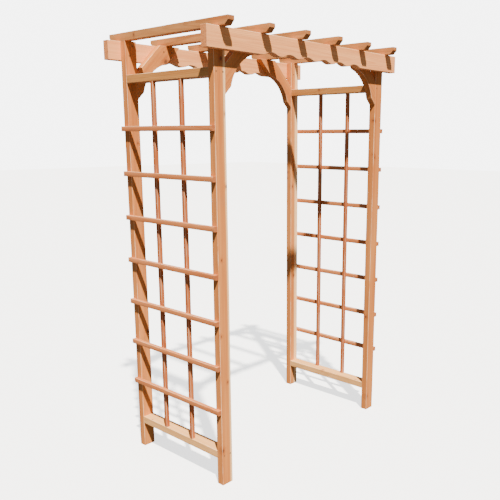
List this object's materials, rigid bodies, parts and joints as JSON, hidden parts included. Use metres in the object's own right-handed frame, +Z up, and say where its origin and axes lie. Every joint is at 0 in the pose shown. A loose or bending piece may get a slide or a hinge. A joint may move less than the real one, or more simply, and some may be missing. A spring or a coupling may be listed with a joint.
{
  "type": "cedar garden arbor",
  "caption": "Free-standing cedar walk-through arbor with lattice sides, scalloped beams, roof slats and curved knee braces.",
  "frame": {"origin": "on the ground, at the middle of the footprint", "axes": "+X from the left panel to the right panel along the beams, +Y along the walkway from front to rear, +Z up"},
  "size_m": [1.4, 0.847, 2.138],
  "materials": {
    "post_wood": "dressed, unfinished cedar",
    "beam_wood": "dressed, unfinished cedar",
    "rail_wood": "dressed, unfinished cedar",
    "slat_wood": "dressed, unfinished cedar",
    "lattice_wood": "sawn, unfinished cedar"
  },
  "bodies": {
    "root": {"post_front_left": "post_wood", "post_front_right": "post_wood", "post_rear_left": "post_wood", "post_rear_right": "post_wood", "beam_front": "beam_wood", "beam_rear": "beam_wood", "slat_1": "slat_wood", "slat_2": "slat_wood", "slat_3": "slat_wood", "slat_4": "slat_wood", "slat_5": "slat_wood", "slat_6": "slat_wood", "rail_top_left": "rail_wood", "rail_top_right": "rail_wood", "rail_bottom_left": "rail_wood", "rail_bottom_right": "rail_wood", "lattice_left": "lattice_wood", "lattice_right": "lattice_wood", "brace_front_left": "post_wood", "brace_front_right": "post_wood", "brace_rear_left": "post_wood", "brace_rear_right": "post_wood"}
  },
  "joints": []
}
